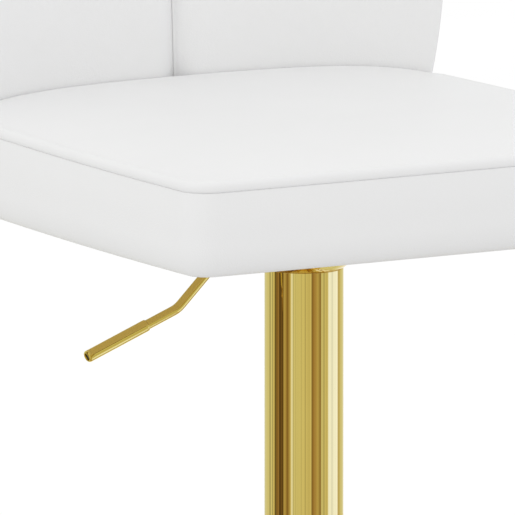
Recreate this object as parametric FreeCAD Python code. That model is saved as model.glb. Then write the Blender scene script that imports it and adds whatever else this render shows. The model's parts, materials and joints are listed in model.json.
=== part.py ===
import FreeCAD, Part

import math
import os

# A gas-lift bar stool. Units are millimetres. The origin is on the floor, on the axis of the column.
# +Z is up, the sitter faces -Y, and the release lever is on the -X side. The seat is at its lowest.

V = FreeCAD.Vector
UP = V(0, 0, 1)
OPEN = 0.5  # how far a cutter runs past a face, so that it leaves no skin

# Heights and travel
RIM_Z = 498.0  # top of the column sleeve; the seat mechanism is measured up from here
STROKE = 205.0  # travel of the gas lift
OVERLAP = 41.0  # column tube left inside the sleeve at full height

# Base
BASE_R = 192.5
BASE_SKIN = 1.6
BASE_EDGE_Z = 8.0  # top of the upright rim
PAD_H = 3.0  # foam pad under the base
PLATE_T = 4.0
CONE_SLOPE = math.radians(8.8)
CONE_R = 190.0
CONE_Z = 10.0
NECK_R = 33.5
TRUMPET_R = 55.0
SOCKET_R = 31.0
SOCKET_H = 55.0
NECK_RING_R = 35.0
NECK_RING_H = 7.0

# Column
SLEEVE_R = 30.0
SLEEVE_WALL = 1.5
TUBE_R = 25.0
TUBE_WALL = 2.0
COLUMN_TOP = RIM_Z - 20
SLEEVE_BOTTOM = COLUMN_TOP - STROKE - OVERLAP
GUIDE_RING_H = 30.0
BUSHING_H = 90.0
FIT = 0.06  # radial clearance of every running fit

# Gas lift
CYL_R = 14.0
CYL_WALL = 2.0
CYL_TOP = RIM_Z + 14
CYL_BOTTOM = 210.0
CAP_H = 20.0
END_GUIDE_H = 30.0
ROD_R = 5.0
ROD_BOTTOM = 9.5
PISTON_Z = 474.0
PISTON_H = 10.0
SPIGOT_R = 3.0
SEAL_R = 9.5
SEAL_H = 4.0
NUT_R = 5.5
NUT_H = 3.5
BUTTON_R = 4.0
BUTTON_DOME = 5.0
BUTTON_TOP = RIM_Z + 19.65
BUTTON_L = 15.0
BUTTON_HOLE_L = 17.0

# Swivel bearing at the foot of the rod
FLOOR_PLATE_Z = 16.0
FLOOR_PLATE_T = 8.0
RACE_T = 3.0
RACE_IN = 7.0
RACE_OUT = 14.0
BALL_R = 2.0
BALL_RING_R = 10.5
BALL_COUNT = 12
BALL_GAP = 0.05
ROD_COLLAR_R = 8.0
ROD_COLLAR_H = 3.0
BUFFER_R = 13.0
BUFFER_H = 15.0
CLIP_T = 1.5
CLIP_R = 9.0
CLIP_GROOVE = 1.0

# Seat plate, hub and flared collar
PAN_HALF = 52.0
PAN_WALL = 2.5
PAN_Z = RIM_Z + 14
FLANGE_HALF = 80.0
FLANGE_T = 3.0
FLANGE_TOP = RIM_Z + 42
HUB_R = 20.0
HUB_BOTTOM = RIM_Z - 18
HUB_TOP = RIM_Z + 15
FLARE_R = 44.0
FLARE_WALL = 1.2
SPIGOT_DEPTH = 15.0

# Release lever, as points of its centre line in the X-Z plane, with Z measured from the rim
LEVER_R = 4.0
LEVER_PATH = ((6.0, 24.0), (-62.0, 24.0), (-110.1, -22.5), (-185.0, -51.4))
LEVER_BENDS = (18.0, 22.0)
LEVER_PIVOT_X = -40.0
LEVER_PIVOT_Z = RIM_Z + 24
LEVER_HUB_R = 6.0
LEVER_HUB_HALF = 11.5
GRIP_R = 5.0
GRIP_L = 55.5
GRIP_PAST_ROD = 3.8
GRIP_RECESS_R = 2.2
GRIP_RECESS_L = 2.0
GRIP_CHAMFER = 0.8
PIN_R = 3.0
PIN_HALF = 17.5
EAR_Y = 12.0
EAR_T = 2.5
EAR_HALF = 8.0
EAR_TOP = RIM_Z + 31
PIN_CLIP_R = 5.0
PIN_CLIP_T = 1.0
SLOT_HALF = 5.5
SLOT_Z = (RIM_Z + 17.5, RIM_Z + 32)

# Footrest
FOOT_Z = SLEEVE_BOTTOM + 19
FOOT_R = 11.0
FOOT_CLAMP_R = 35.0
FOOT_CLAMP_H = 30.0
FOOT_ARM = (22.0, -18.0)  # where the right arm leaves the clamp
FOOT_SIDE = (150.0, -95.0)
FOOT_FRONT = (128.0, -240.0)
FOOT_BENDS = (50.0, 58.0)
FOOT_SCREW_ANGLES = (60.0, 120.0)

# Seat
BOARD_BOTTOM = RIM_Z + 43
BOARD_T = 12.0
BOARD_INSET = 16.0
SEAT_BOTTOM = RIM_Z + 39.7
SEAM_Z = RIM_Z + 103.7
SEAT_TOP = RIM_Z + 121.4
SEAT_FRONT_Y = -223.5
SEAT_FRONT_BOW = 1.7
SEAT_HALF_FRONT = 220.6
SEAT_HALF_MID = 222.2
SEAT_MID_Y = -80.0
SEAT_HALF_REAR = 209.5
SEAT_REAR_Y = 180.0
SEAT_CORNER = 22.0
SEAT_TURN_UNDER = 12.0
SEAT_ROLL = 8.0
COVER_T = 1.0
COVER_INSET = 20.0

# Backrest. Its faces are swept about an upright axis in front of the stool, and lean back on an arc.
BACK_R = 800.0
BACK_FACE_Y = 189.4
BACK_AXIS_Y = BACK_FACE_Y - BACK_R
BACK_BOTTOM = RIM_Z + 46
BACK_TOP = SEAT_TOP + 335
LEAN_Z = RIM_Z + 60  # the backrest is upright below here
LEAN_R = 1930.0
BACK_SWEEP = 20.0  # degrees each way, wider than the outline
PAD_T = 24.0
BACK_BOARD_T = 10.0
REAR_T = 12.0
BACK_BOARD_INSET = 12.0
BACK_HALF_SEAT = 210.5
BACK_HALF_WIDE = 221.0
BACK_WIDE_Z = SEAT_TOP + 110
BACK_HALF_TOP = 216.0
BACK_CORNER = 46.0
BACK_DEPTH = 150.0  # of the block that the layers are cut to
LAYER_PAST = 5.0  # how far a layer runs past that block, above and below
BACK_FOOT_CORNER = 24.0
BACK_ARCH = 7.0
GROOVE_HALF = 1.5
SEAT_GAP = 0.4

# Brackets and fasteners
BRACKET_X = 92.5
BRACKET_HALF = 17.5
BRACKET_T = 3.5
BRACKET_FRONT_Y = 100.0
BRACKET_H = 112.0
BRACKET_BOLT_Y = (118.0, 150.0)
BACK_BOLT_Z = (RIM_Z + 88, RIM_Z + 130)
BOLT_R = 3.0
HEAD_R = 5.0
HEAD_H = 4.0
PLATE_BOLT_AT = 66.0
WASHER_R = 8.0
WASHER_T = 1.2
NUT_BARREL_R = 4.0
NUT_FLANGE_R = 9.5
NUT_FLANGE_T = 1.2
CORNERS = ((1, 1), (-1, 1), (-1, -1), (1, -1))


def disc(radius, z0, z1, x=0.0, y=0.0):
    return Part.makeCylinder(radius, z1 - z0, V(x, y, z0))


def ring(outer, inner, z0, z1):
    return disc(outer, z0, z1).cut(disc(inner, z0 - OPEN, z1 + OPEN))


def block(x0, x1, y0, y1, z0, z1):
    return Part.makeBox(x1 - x0, y1 - y0, z1 - z0, V(x0, y0, z0))


def line(a, b):
    return Part.LineSegment(a, b).toShape()


def arc(a, b, c):
    return Part.Arc(a, b, c).toShape()


def spin(edges):
    """Turn a closed outline in the X-Z plane about the column's axis."""
    return Part.Face(Part.Wire(edges)).revolve(V(0, 0, 0), UP, 360)


def export(name, shape):
    shape.exportStep(f"parts/{name}.step")


def rounded_path(points, bends):
    """Straight runs joined by tangent arcs, one bend radius for each inner point."""
    edges = []
    start = points[0]
    for before, corner, after, radius in zip(points, points[1:], points[2:], bends):
        into = (corner - before).normalize()
        out = (after - corner).normalize()
        half_turn = into.getAngle(out) / 2
        tangent = radius * math.tan(half_turn)
        inward = (out - into).normalize()
        first = corner - into * tangent
        last = corner + out * tangent
        middle = corner + inward * (radius / math.cos(half_turn) - radius)
        edges.append(line(start, first))
        edges.append(arc(first, middle, last))
        start = last
    edges.append(line(start, points[-1]))
    return Part.Wire(edges)


def round_bar(path, radius):
    """A solid round bar along a path of lines and tangent arcs."""
    first = path.OrderedEdges[0]
    begin = first.valueAt(first.FirstParameter)
    heading = first.tangentAt(first.FirstParameter)
    section = Part.Wire(Part.makeCircle(radius, begin, heading))
    return path.makePipeShell([section], True, True)


# ---------------------------------------------------------------- base


def base_shell():
    """The spun trumpet: an upright rim, a shallow cone, and a flare up to the neck."""
    def skin(depth):
        flare = TRUMPET_R + depth
        centre = V(NECK_R + TRUMPET_R, 0, flare_centre_z())
        meet = centre - V(math.sin(CONE_SLOPE), 0, math.cos(CONE_SLOPE)) * flare
        halfway = math.radians(45) + CONE_SLOPE / 2
        middle = centre - V(math.sin(halfway), 0, math.cos(halfway)) * flare
        top = centre - V(flare, 0, 0)
        reach = (CONE_R - meet.x) / math.cos(CONE_SLOPE)
        outer = meet + V(math.cos(CONE_SLOPE), 0, -math.sin(CONE_SLOPE)) * reach
        return outer, meet, middle, top

    outer, meet, middle, top = skin(0)
    outer_in, meet_in, middle_in, top_in = skin(BASE_SKIN)
    rim_top = V(BASE_R, 0, BASE_EDGE_Z)
    rim_foot = V(BASE_R, 0, PAD_H)
    rim_foot_in = V(BASE_R - BASE_SKIN, 0, PAD_H)
    rim_top_in = V(BASE_R - BASE_SKIN, 0, BASE_EDGE_Z - BASE_SKIN / 2)
    return spin([
        line(rim_foot, rim_top),
        line(rim_top, outer),
        line(outer, meet),
        arc(meet, middle, top),
        line(top, top_in),
        arc(top_in, middle_in, meet_in),
        line(meet_in, outer_in),
        line(outer_in, rim_top_in),
        line(rim_top_in, rim_foot_in),
        line(rim_foot_in, rim_foot),
    ])


def flare_centre_z():
    """Height of the flare's centre, where the flare meets the cone without a crease."""
    meet_r = NECK_R + TRUMPET_R * (1 - math.sin(CONE_SLOPE))
    meet_z = CONE_Z + (CONE_R - meet_r) * math.tan(CONE_SLOPE)
    return meet_z + TRUMPET_R * math.cos(CONE_SLOPE)


def neck_ring():
    body = ring(NECK_RING_R, TUBE_R, flare_centre_z(), flare_centre_z() + NECK_RING_H)
    rounded = [e for e in body.Edges if abs(e.BoundBox.XMax - NECK_RING_R) < 0.01]
    return body.makeFillet(2.0, [e for e in rounded if e.BoundBox.ZLength < 0.01])


def base():
    plate_top = PAD_H + PLATE_T
    export("base_shell", base_shell())
    export("base_plate", disc(BASE_R - BASE_SKIN - SEAT_GAP, PAD_H, plate_top))
    export("base_floor_pad", disc(BASE_R, 0, PAD_H))
    export("column_socket", ring(SOCKET_R, TUBE_R, plate_top, plate_top + SOCKET_H))
    export("neck_ring", neck_ring())
    export("column_tube", ring(TUBE_R, TUBE_R - TUBE_WALL, plate_top, COLUMN_TOP))
    inside = TUBE_R - TUBE_WALL
    floor_top = FLOOR_PLATE_Z + FLOOR_PLATE_T
    export("tube_floor_plate", ring(inside, ROD_R + FIT, FLOOR_PLATE_Z, floor_top))
    export("guide_bushing", ring(inside, CYL_R + FIT, COLUMN_TOP - BUSHING_H, COLUMN_TOP))
    export("bearing_lower_race", ring(RACE_OUT, RACE_IN, floor_top, floor_top + RACE_T))


# ---------------------------------------------------------------- lift rod, which turns with the seat


def lift_rod():
    race_top = FLOOR_PLATE_Z + FLOOR_PLATE_T + RACE_T
    ball_z = race_top + BALL_GAP + BALL_R
    upper = ball_z + BALL_R
    collar_z = upper + RACE_T
    clip_z = FLOOR_PLATE_Z - 0.2 - CLIP_T
    balls = []
    for i in range(BALL_COUNT):
        turn = math.radians(360 / BALL_COUNT * i)
        at = V(BALL_RING_R * math.cos(turn), BALL_RING_R * math.sin(turn), ball_z)
        balls.append(Part.makeSphere(BALL_R, at))
    export("bearing_balls", Part.makeCompound(balls))
    export("bearing_upper_race", ring(RACE_OUT, ROD_R, upper, collar_z))

    rod = disc(ROD_R, ROD_BOTTOM, PISTON_Z)
    rod = rod.fuse(disc(ROD_COLLAR_R, collar_z, collar_z + ROD_COLLAR_H))
    rod = rod.fuse(disc(SPIGOT_R, PISTON_Z, PISTON_Z + PISTON_H + NUT_H))
    groove = ring(ROD_R + OPEN, ROD_R - CLIP_GROOVE, clip_z, clip_z + CLIP_T)
    export("piston_rod", rod.cut(groove).removeSplitter())
    export("rod_clip", ring(CLIP_R, ROD_R - CLIP_GROOVE, clip_z, clip_z + CLIP_T))
    buffer_z = collar_z + ROD_COLLAR_H
    export("rod_buffer", ring(BUFFER_R, ROD_R, buffer_z, buffer_z + BUFFER_H))

    bore = CYL_R - CYL_WALL
    seal_z = PISTON_Z + (PISTON_H - SEAL_H) / 2
    seal = ring(bore - FIT, SEAL_R, seal_z, seal_z + SEAL_H)
    piston = ring(bore - FIT - 0.03, SPIGOT_R, PISTON_Z, PISTON_Z + PISTON_H)
    export("piston_seal", seal)
    export("piston", piston.cut(ring(bore, SEAL_R, seal_z, seal_z + SEAL_H)))
    nut_z = PISTON_Z + PISTON_H
    flats = [V(NUT_R * math.cos(math.radians(60 * i)), NUT_R * math.sin(math.radians(60 * i)), nut_z)
             for i in range(7)]
    nut = Part.Face(Part.makePolygon(flats)).extrude(UP * NUT_H)
    export("piston_nut", nut.cut(disc(SPIGOT_R, nut_z - OPEN, nut_z + NUT_H + OPEN)))


# ---------------------------------------------------------------- cylinder, sleeve and button


def gas_cylinder():
    bore = CYL_R - CYL_WALL
    export("gas_cylinder", ring(CYL_R, bore, CYL_BOTTOM, CYL_TOP))
    export("cylinder_end_guide", ring(bore, ROD_R + FIT, CYL_BOTTOM, CYL_BOTTOM + END_GUIDE_H))
    hole = disc(BUTTON_R + FIT, CYL_TOP - BUTTON_HOLE_L, CYL_TOP + OPEN)
    export("cylinder_cap", disc(bore, CYL_TOP - CAP_H, CYL_TOP).cut(hole))


def release_button():
    """A pin with a domed head that stands just under the inner end of the lever."""
    stem = disc(BUTTON_R, BUTTON_TOP - BUTTON_L, BUTTON_TOP)
    dome = Part.makeSphere(BUTTON_DOME, V(0, 0, BUTTON_TOP - BUTTON_DOME))
    below = disc(BUTTON_R, BUTTON_TOP - BUTTON_L, BUTTON_TOP - BUTTON_DOME)
    export("release_button", stem.common(dome.fuse(below)).removeSplitter())


def column_collar():
    """A flared skirt from the sleeve's rim up to the seat plate, on a spigot inside the sleeve."""
    inner = SLEEVE_R - SLEEVE_WALL
    rise = PAN_Z - RIM_Z
    spread = FLARE_R - SLEEVE_R

    def flare(inset, drop):
        low = V(SLEEVE_R - inset, 0, RIM_Z + drop)
        middle = V(SLEEVE_R - inset + spread * 0.60, 0, RIM_Z + drop + rise * 0.55)
        high = V(FLARE_R - inset, 0, PAN_Z)
        return low, middle, high

    low, middle, high = flare(0, 0)
    low_in, middle_in, high_in = flare(FLARE_WALL * 1.6, 0)
    spigot = V(inner, 0, RIM_Z)
    spigot_foot = V(inner, 0, RIM_Z - SPIGOT_DEPTH)
    spigot_foot_in = V(inner - FLARE_WALL, 0, RIM_Z - SPIGOT_DEPTH)
    spigot_top_in = V(inner - FLARE_WALL, 0, RIM_Z)
    export("column_collar", spin([
        line(spigot, low),
        arc(low, middle, high),
        line(high, high_in),
        arc(high_in, middle_in, low_in),
        line(low_in, spigot_top_in),
        line(spigot_top_in, spigot_foot_in),
        line(spigot_foot_in, spigot_foot),
        line(spigot_foot, spigot),
    ]))


def sleeve():
    inner = SLEEVE_R - SLEEVE_WALL
    export("column_sleeve", ring(SLEEVE_R, inner, SLEEVE_BOTTOM, RIM_Z))
    ring_top = SLEEVE_BOTTOM + GUIDE_RING_H
    export("sleeve_guide_ring", ring(inner, TUBE_R + FIT, SLEEVE_BOTTOM, ring_top))


# ---------------------------------------------------------------- footrest


def footrest():
    """A bent tube that leaves the clamp on both sides and runs round in front of the column."""
    half = [FOOT_ARM, FOOT_SIDE, FOOT_FRONT]
    right = [V(x, y, FOOT_Z) for x, y in half]
    left = [V(-x, y, FOOT_Z) for x, y in reversed(half)]
    path = rounded_path(right + left, FOOT_BENDS + FOOT_BENDS[::-1])
    clamp_z = FOOT_Z - FOOT_CLAMP_H / 2
    bar = round_bar(path, FOOT_R)
    export("footrest_bar", bar.cut(disc(FOOT_CLAMP_R, clamp_z - OPEN, clamp_z + FOOT_CLAMP_H + OPEN)))

    clamp = ring(FOOT_CLAMP_R, SLEEVE_R, clamp_z, clamp_z + FOOT_CLAMP_H)
    rims = [e for e in clamp.Edges if abs(e.BoundBox.XMax - FOOT_CLAMP_R) < 0.01]
    clamp = clamp.makeFillet(1.5, [e for e in rims if e.BoundBox.ZLength < 0.01])
    screws = []
    for angle in FOOT_SCREW_ANGLES:
        way = V(math.cos(math.radians(angle)), math.sin(math.radians(angle)), 0)
        at = V(0, 0, FOOT_Z)
        shank = Part.makeCylinder(BOLT_R, FOOT_CLAMP_R - SLEEVE_R, at + way * SLEEVE_R, way)
        clamp = clamp.cut(shank)
        head = Part.makeCylinder(HEAD_R, HEAD_H, at + way * FOOT_CLAMP_R, way)
        socket = Part.makeCylinder(BOLT_R, HEAD_H / 2, at + way * (FOOT_CLAMP_R + HEAD_H / 2), way)
        seat = Part.makeCylinder(FOOT_CLAMP_R, FOOT_CLAMP_H, V(0, 0, clamp_z))
        screws.append(head.cut(socket).cut(seat).fuse(shank).removeSplitter())
    export("footrest_collar", clamp)
    export("footrest_screws", Part.makeCompound(screws))


# ---------------------------------------------------------------- seat plate, hub and lever


def plate_bolt_places():
    return [(sx * PLATE_BOLT_AT, sy * PLATE_BOLT_AT) for sx, sy in CORNERS]


def bracket_bolt_places():
    return [(side * BRACKET_X, y) for side in (-1, 1) for y in BRACKET_BOLT_Y]


def seat_plate():
    """A pressed pan with a square flange that bolts under the seat board."""
    pan = block(-PAN_HALF, PAN_HALF, -PAN_HALF, PAN_HALF, PAN_Z, FLANGE_TOP)
    pan = pan.makeFillet(8.0, [e for e in pan.Edges if e.BoundBox.ZLength > PAN_WALL])
    flange = block(-FLANGE_HALF, FLANGE_HALF, -FLANGE_HALF, FLANGE_HALF, FLANGE_TOP - FLANGE_T, FLANGE_TOP)
    flange = flange.makeFillet(10.0, [e for e in flange.Edges if e.BoundBox.ZLength > OPEN])
    inside = PAN_HALF - PAN_WALL
    hollow = block(-inside, inside, -inside, inside, PAN_Z + PAN_WALL, FLANGE_TOP + OPEN)
    hollow = hollow.makeFillet(5.5, [e for e in hollow.Edges if e.BoundBox.ZLength > PAN_WALL])
    plate = pan.fuse(flange).removeSplitter().cut(hollow)
    plate = plate.cut(disc(HUB_R, PAN_Z - OPEN, PAN_Z + PAN_WALL + OPEN))
    slot = block(-PAN_HALF - OPEN, -inside + OPEN, -SLOT_HALF, SLOT_HALF, *SLOT_Z)
    plate = plate.cut(slot)
    for x, y in plate_bolt_places():
        plate = plate.cut(disc(BOLT_R, FLANGE_TOP - FLANGE_T - OPEN, FLANGE_TOP + OPEN, x, y))
    export("seat_plate", plate)
    export("taper_hub", ring(HUB_R, CYL_R, HUB_BOTTOM, HUB_TOP))


def along_y(radius, y0, y1):
    """A round piece on the lever's pivot axis."""
    return Part.makeCylinder(radius, y1 - y0, V(LEVER_PIVOT_X, y0, LEVER_PIVOT_Z), V(0, 1, 0))


def lever_mount():
    pin = along_y(PIN_R, -PIN_HALF, PIN_HALF)
    ears = []
    clips = []
    for side in (-1, 1):
        near, far = sorted((side * EAR_Y, side * (EAR_Y + EAR_T)))
        x0 = LEVER_PIVOT_X - EAR_HALF
        x1 = LEVER_PIVOT_X + EAR_HALF
        ear = block(x0, x1, near, far, PAN_Z + PAN_WALL, EAR_TOP)
        ears.append(ear.cut(along_y(PIN_R, near - OPEN, far + OPEN)))
        clip_a, clip_b = sorted((side * (EAR_Y + EAR_T), side * (EAR_Y + EAR_T + PIN_CLIP_T)))
        groove = PIN_R - CLIP_GROOVE / 2
        clip = along_y(PIN_CLIP_R, clip_a, clip_b).cut(along_y(groove, clip_a - OPEN, clip_b + OPEN))
        clips.append(clip)
        pin = pin.cut(clip)
    export("lever_ears", Part.makeCompound(ears))
    export("lever_pivot_pin", pin)
    export("pin_clips", Part.makeCompound(clips))


def lever():
    points = [V(x, 0, RIM_Z + z) for x, z in LEVER_PATH]
    rod = round_bar(rounded_path(points, LEVER_BENDS), LEVER_R)
    rod = rod.fuse(along_y(LEVER_HUB_R, -LEVER_HUB_HALF, LEVER_HUB_HALF))
    rod = rod.cut(along_y(PIN_R + FIT, -LEVER_HUB_HALF - OPEN, LEVER_HUB_HALF + OPEN))
    export("lever_rod", rod.removeSplitter())

    way = (points[-1] - points[-2]).normalize()
    tip = points[-1] + way * GRIP_PAST_ROD
    start = tip - way * GRIP_L
    grip = Part.makeCylinder(GRIP_R, GRIP_L, start, way)
    grip = grip.makeChamfer(GRIP_CHAMFER, [e for e in grip.Edges if isinstance(e.Curve, Part.Circle)])
    grip = grip.cut(Part.makeCylinder(LEVER_R, GRIP_L - GRIP_PAST_ROD, start, way))
    recess = Part.makeCylinder(GRIP_RECESS_R, GRIP_RECESS_L, tip - way * GRIP_RECESS_L, way)
    export("lever_grip", grip.cut(recess))


# ---------------------------------------------------------------- seat


def seat_slab(inset, z0, z1):
    """A level slab with the seat's plan: four bowed edges, so it is what four large discs share."""
    front = arc(
        V(-SEAT_HALF_FRONT, SEAT_FRONT_Y + SEAT_FRONT_BOW, 0),
        V(0, SEAT_FRONT_Y, 0),
        V(SEAT_HALF_FRONT, SEAT_FRONT_Y + SEAT_FRONT_BOW, 0),
    ).Curve
    side = arc(
        V(SEAT_HALF_FRONT, SEAT_FRONT_Y, 0),
        V(SEAT_HALF_MID, SEAT_MID_Y, 0),
        V(SEAT_HALF_REAR, SEAT_REAR_Y, 0),
    ).Curve
    slab = disc(front.Radius - inset, z0, z1, 0, front.Center.y)
    slab = slab.common(disc(side.Radius - inset, z0, z1, side.Center.x, side.Center.y))
    slab = slab.common(disc(side.Radius - inset, z0, z1, -side.Center.x, side.Center.y))
    slab = slab.common(disc(BACK_R - SEAT_GAP - inset, z0, z1, 0, BACK_AXIS_Y))
    upright = [e for e in slab.Edges if e.BoundBox.ZLength > (z1 - z0) / 2]
    return slab.makeFillet(SEAT_CORNER - inset, upright)


def edges_at(shape, z):
    return [e for e in shape.Edges if abs(e.BoundBox.ZMin - z) < 0.01 and abs(e.BoundBox.ZMax - z) < 0.01]


def seat(brackets):
    board_top = BOARD_BOTTOM + BOARD_T
    board = seat_slab(BOARD_INSET, BOARD_BOTTOM, board_top)
    body = seat_slab(0, SEAT_BOTTOM, SEAM_Z)
    body = body.makeFillet(SEAT_TURN_UNDER, edges_at(body, SEAT_BOTTOM))
    body = body.cut(seat_slab(BOARD_INSET, SEAT_BOTTOM - OPEN, board_top)).cut(brackets)
    cover = seat_slab(COVER_INSET, BOARD_BOTTOM - COVER_T, BOARD_BOTTOM).cut(brackets)

    bolts = []
    washers = []
    nuts = []
    flange_foot = FLANGE_TOP - FLANGE_T
    for x, y in plate_bolt_places():
        head_top = flange_foot - WASHER_T
        head = disc(HEAD_R, head_top - HEAD_H, head_top, x, y)
        shank = disc(BOLT_R, head_top, board_top, x, y)
        bolts.append(head.fuse(shank).removeSplitter())
        washers.append(disc(WASHER_R, head_top, flange_foot, x, y).cut(shank))
        barrel = disc(NUT_BARREL_R, BOARD_BOTTOM, board_top, x, y)
        wide = disc(NUT_FLANGE_R, board_top, board_top + NUT_FLANGE_T, x, y)
        nuts.append(barrel.fuse(wide).removeSplitter().cut(shank))
        board = board.cut(barrel)
        cover = cover.cut(shank)
        body = body.cut(wide)
    export("plate_bolts", Part.makeCompound(bolts))
    export("plate_washers", Part.makeCompound(washers))
    export("tee_nuts", Part.makeCompound(nuts))

    screws = []
    bracket_foot = BOARD_BOTTOM - BRACKET_T
    for x, y in bracket_bolt_places():
        head = disc(HEAD_R, bracket_foot - HEAD_H, bracket_foot, x, y)
        shank = disc(BOLT_R, bracket_foot, board_top - 2, x, y)
        screws.append(head.fuse(shank).removeSplitter())
        board = board.cut(shank)
    export("bracket_bolts", Part.makeCompound(screws))
    export("seat_board", board)
    export("seat_dust_cover", cover)
    export("seat_body", body)

    cushion = seat_slab(0, SEAM_Z, SEAT_TOP)
    export("seat_cushion", cushion.makeFillet(SEAT_ROLL, edges_at(cushion, SEAT_TOP)))


# ---------------------------------------------------------------- backrest


def back_layer(front, rear, z0, z1):
    """A curved shell whose faces lie front and rear millimetres behind the backrest's front face."""
    centre = BACK_FACE_Y + LEAN_R

    def at(depth, z):
        reach = LEAN_R - depth
        lean = max(z - LEAN_Z, 0)
        return V(0, centre - math.sqrt(reach**2 - lean**2), z)

    def faces(depth):
        halfway = (LEAN_Z + z1) / 2
        return at(depth, z0), at(depth, LEAN_Z), at(depth, halfway), at(depth, z1)

    low, knee, middle, high = faces(front)
    low_r, knee_r, middle_r, high_r = faces(rear)
    outline = Part.Wire([
        line(low, knee),
        arc(knee, middle, high),
        line(high, high_r),
        arc(high_r, middle_r, knee_r),
        line(knee_r, low_r),
        line(low_r, low),
    ])
    section = Part.Face(outline)
    axis = V(0, BACK_AXIS_Y, 0)
    section.rotate(axis, UP, -BACK_SWEEP)
    return section.revolve(axis, UP, 2 * BACK_SWEEP)


def back_outline(inset=0.0):
    """The backrest from the front, as a block that the layers are cut to."""
    rise = BACK_WIDE_Z - SEAT_TOP
    spread = BACK_HALF_WIDE - BACK_HALF_SEAT
    radius = (rise**2 + spread**2) / (2 * spread)
    y = BACK_FACE_Y - BACK_CORNER
    foot_z = BACK_BOTTOM + inset
    top_z = BACK_TOP - inset

    def edge(z, side):
        x = BACK_HALF_WIDE - radius + math.sqrt((radius - inset) ** 2 - (z - BACK_WIDE_Z) ** 2)
        return V(side * x, y, z)

    def half(side):
        foot = edge(foot_z, side)
        waist = edge((foot_z + BACK_WIDE_Z) / 2, side)
        wide = edge(BACK_WIDE_Z, side)
        head = V(side * (BACK_HALF_TOP - inset), y, top_z - BACK_ARCH)
        return foot, waist, wide, head

    foot, waist, wide, head = half(1)
    foot_l, waist_l, wide_l, head_l = half(-1)
    outline = Part.Wire([
        line(foot_l, foot),
        arc(foot, waist, wide),
        line(wide, head),
        arc(head, V(0, y, top_z), head_l),
        line(head_l, wide_l),
        arc(wide_l, waist_l, foot_l),
    ])
    solid = Part.Face(outline).extrude(V(0, BACK_DEPTH, 0))
    corners = [e for e in solid.Edges if e.BoundBox.YLength > BACK_DEPTH / 2]
    tops = [e for e in corners if e.BoundBox.ZMin > top_z - BACK_ARCH - 1]
    feet = [e for e in corners if e.BoundBox.ZMax < foot_z + 1]
    return solid.makeFillet(BACK_CORNER - inset, tops).makeFillet(BACK_FOOT_CORNER - inset, feet)


def back_brackets():
    """Two L brackets: a flat leg under the seat board and a curved leg up behind the back board."""
    foot = BOARD_BOTTOM - BRACKET_T
    behind = PAD_T + BACK_BOARD_T
    brackets = []
    for side in (-1, 1):
        x = side * BRACKET_X
        x0 = x - BRACKET_HALF
        x1 = x + BRACKET_HALF
        upright = back_layer(behind, behind + BRACKET_T, foot, foot + BRACKET_H)
        upright = upright.common(block(x0, x1, 0, BACK_R, foot, foot + BRACKET_H))
        reach = disc(BACK_R + behind + BRACKET_T, foot, BOARD_BOTTOM, 0, BACK_AXIS_Y)
        flat = block(x0, x1, BRACKET_FRONT_Y, BACK_R, foot, BOARD_BOTTOM).common(reach)
        brackets.append(upright.fuse(flat).removeSplitter())
    return brackets


def back_bolts():
    """Bolts through the upright legs into the back board, square to its curve."""
    bolts = []
    for side in (-1, 1):
        for z in BACK_BOLT_Z:
            reach = BACK_R + PAD_T + BACK_BOARD_T
            turn = math.asin(side * BRACKET_X / reach)
            way = V(math.sin(turn), math.cos(turn), 0)
            lean = LEAN_R - math.sqrt(LEAN_R**2 - max(z - LEAN_Z, 0) ** 2)
            axis = V(0, BACK_AXIS_Y, z)
            head = Part.makeCylinder(HEAD_R, HEAD_H, axis + way * (reach + lean + BRACKET_T), way)
            tip = reach + lean - BACK_BOARD_T + 1
            shank = Part.makeCylinder(BOLT_R, BRACKET_T + BACK_BOARD_T - 1, axis + way * tip, way)
            bolts.append(head.fuse(shank).removeSplitter())
    return bolts


def back(bolts):
    whole = back_outline()
    behind = PAD_T + BACK_BOARD_T
    low = BACK_BOTTOM - LAYER_PAST
    high = BACK_TOP + LAYER_PAST
    pads = back_layer(0, PAD_T, low, high).common(whole)
    wide = BACK_HALF_WIDE + OPEN
    export("back_pad_left", pads.common(block(-wide, -GROOVE_HALF, 0, BACK_R, low, high)))
    export("back_pad_right", pads.common(block(GROOVE_HALF, wide, 0, BACK_R, low, high)))

    inner = back_outline(BACK_BOARD_INSET)
    board = back_layer(PAD_T, behind, low, high).common(inner)
    export("back_board", board.cut(bolts))
    export("back_bolts", bolts)

    rear = back_layer(PAD_T, behind + REAR_T, low, high).common(whole)
    rear = rear.cut(back_layer(PAD_T - OPEN, behind, low, high).common(inner))
    pocket_rear = behind + BRACKET_T + HEAD_H + OPEN
    pocket_top = BOARD_BOTTOM - BRACKET_T + BRACKET_H + OPEN
    reach = BRACKET_HALF + OPEN
    for side in (-1, 1):
        x = side * BRACKET_X
        pocket = back_layer(behind - OPEN, pocket_rear, low, pocket_top)
        rear = rear.cut(pocket.common(block(x - reach, x + reach, 0, BACK_R, low, pocket_top)))
    export("back_rear_cover", rear)


def main():
    os.makedirs("parts", exist_ok=True)
    base()
    lift_rod()
    gas_cylinder()
    release_button()
    column_collar()
    sleeve()
    footrest()
    seat_plate()
    lever_mount()
    lever()

    brackets = Part.makeCompound(back_brackets())
    bolts = Part.makeCompound(back_bolts())
    shanks = [disc(BOLT_R, BOARD_BOTTOM - BRACKET_T, BOARD_BOTTOM + OPEN, x, y)
              for x, y in bracket_bolt_places()]
    export("back_brackets", brackets.cut(Part.makeCompound(shanks)).cut(bolts))
    seat(brackets)
    back(bolts)


main()
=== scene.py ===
import json
import math

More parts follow.
